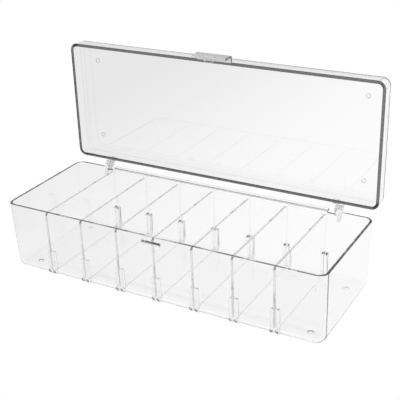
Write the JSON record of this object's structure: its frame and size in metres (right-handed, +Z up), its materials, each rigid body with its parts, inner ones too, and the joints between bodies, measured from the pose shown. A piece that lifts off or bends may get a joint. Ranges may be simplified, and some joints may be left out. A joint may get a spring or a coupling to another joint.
{
  "type": "parts sorting tray",
  "caption": "Long clear sorting box with lift-out dividers between slot ribs, and a lid on stub-pin hinges that snaps shut with a moulded clasp.",
  "frame": {"origin": "centre of the tray's flat underside, which rests on the table", "axes": "+X along the row of compartments, +Y from the clasp side to the hinge side, +Z up; the lid is stored standing open on its stop"},
  "size_m": [0.2648, 0.1152, 0.1612],
  "materials": {
    "tray_clear": "clear moulded polystyrene, polished",
    "divider_clear": "clear moulded polystyrene, polished",
    "lid_clear": "clear moulded polystyrene, polished"
  },
  "bodies": {
    "tray": {"tray": "tray_clear"},
    "divider_1": {"divider_1": "divider_clear"},
    "divider_2": {"divider_2": "divider_clear"},
    "divider_3": {"divider_3": "divider_clear"},
    "divider_4": {"divider_4": "divider_clear"},
    "divider_5": {"divider_5": "divider_clear"},
    "divider_6": {"divider_6": "divider_clear"},
    "divider_7": {"divider_7": "divider_clear"},
    "lid": {"lid": "lid_clear"}
  },
  "joints": [
    {"name": "lid_hinge", "type": "hinge", "parent": "tray", "child": "lid", "pos_m": [0, 0.0517, 0.0561], "axis": [-1, 0, 0], "range_deg": [-90.5, 0]},
    {"name": "divider_1_lift", "type": "slide", "parent": "tray", "child": "divider_1", "axis": [0, 0, 1], "range_m": [0, 0.06]},
    {"name": "divider_2_lift", "type": "slide", "parent": "tray", "child": "divider_2", "axis": [0, 0, 1], "range_m": [0, 0.06]},
    {"name": "divider_3_lift", "type": "slide", "parent": "tray", "child": "divider_3", "axis": [0, 0, 1], "range_m": [0, 0.06]},
    {"name": "divider_4_lift", "type": "slide", "parent": "tray", "child": "divider_4", "axis": [0, 0, 1], "range_m": [0, 0.06]},
    {"name": "divider_5_lift", "type": "slide", "parent": "tray", "child": "divider_5", "axis": [0, 0, 1], "range_m": [0, 0.06]},
    {"name": "divider_6_lift", "type": "slide", "parent": "tray", "child": "divider_6", "axis": [0, 0, 1], "range_m": [0, 0.06]},
    {"name": "divider_7_lift", "type": "slide", "parent": "tray", "child": "divider_7", "axis": [0, 0, 1], "range_m": [0, 0.06]}
  ]
}
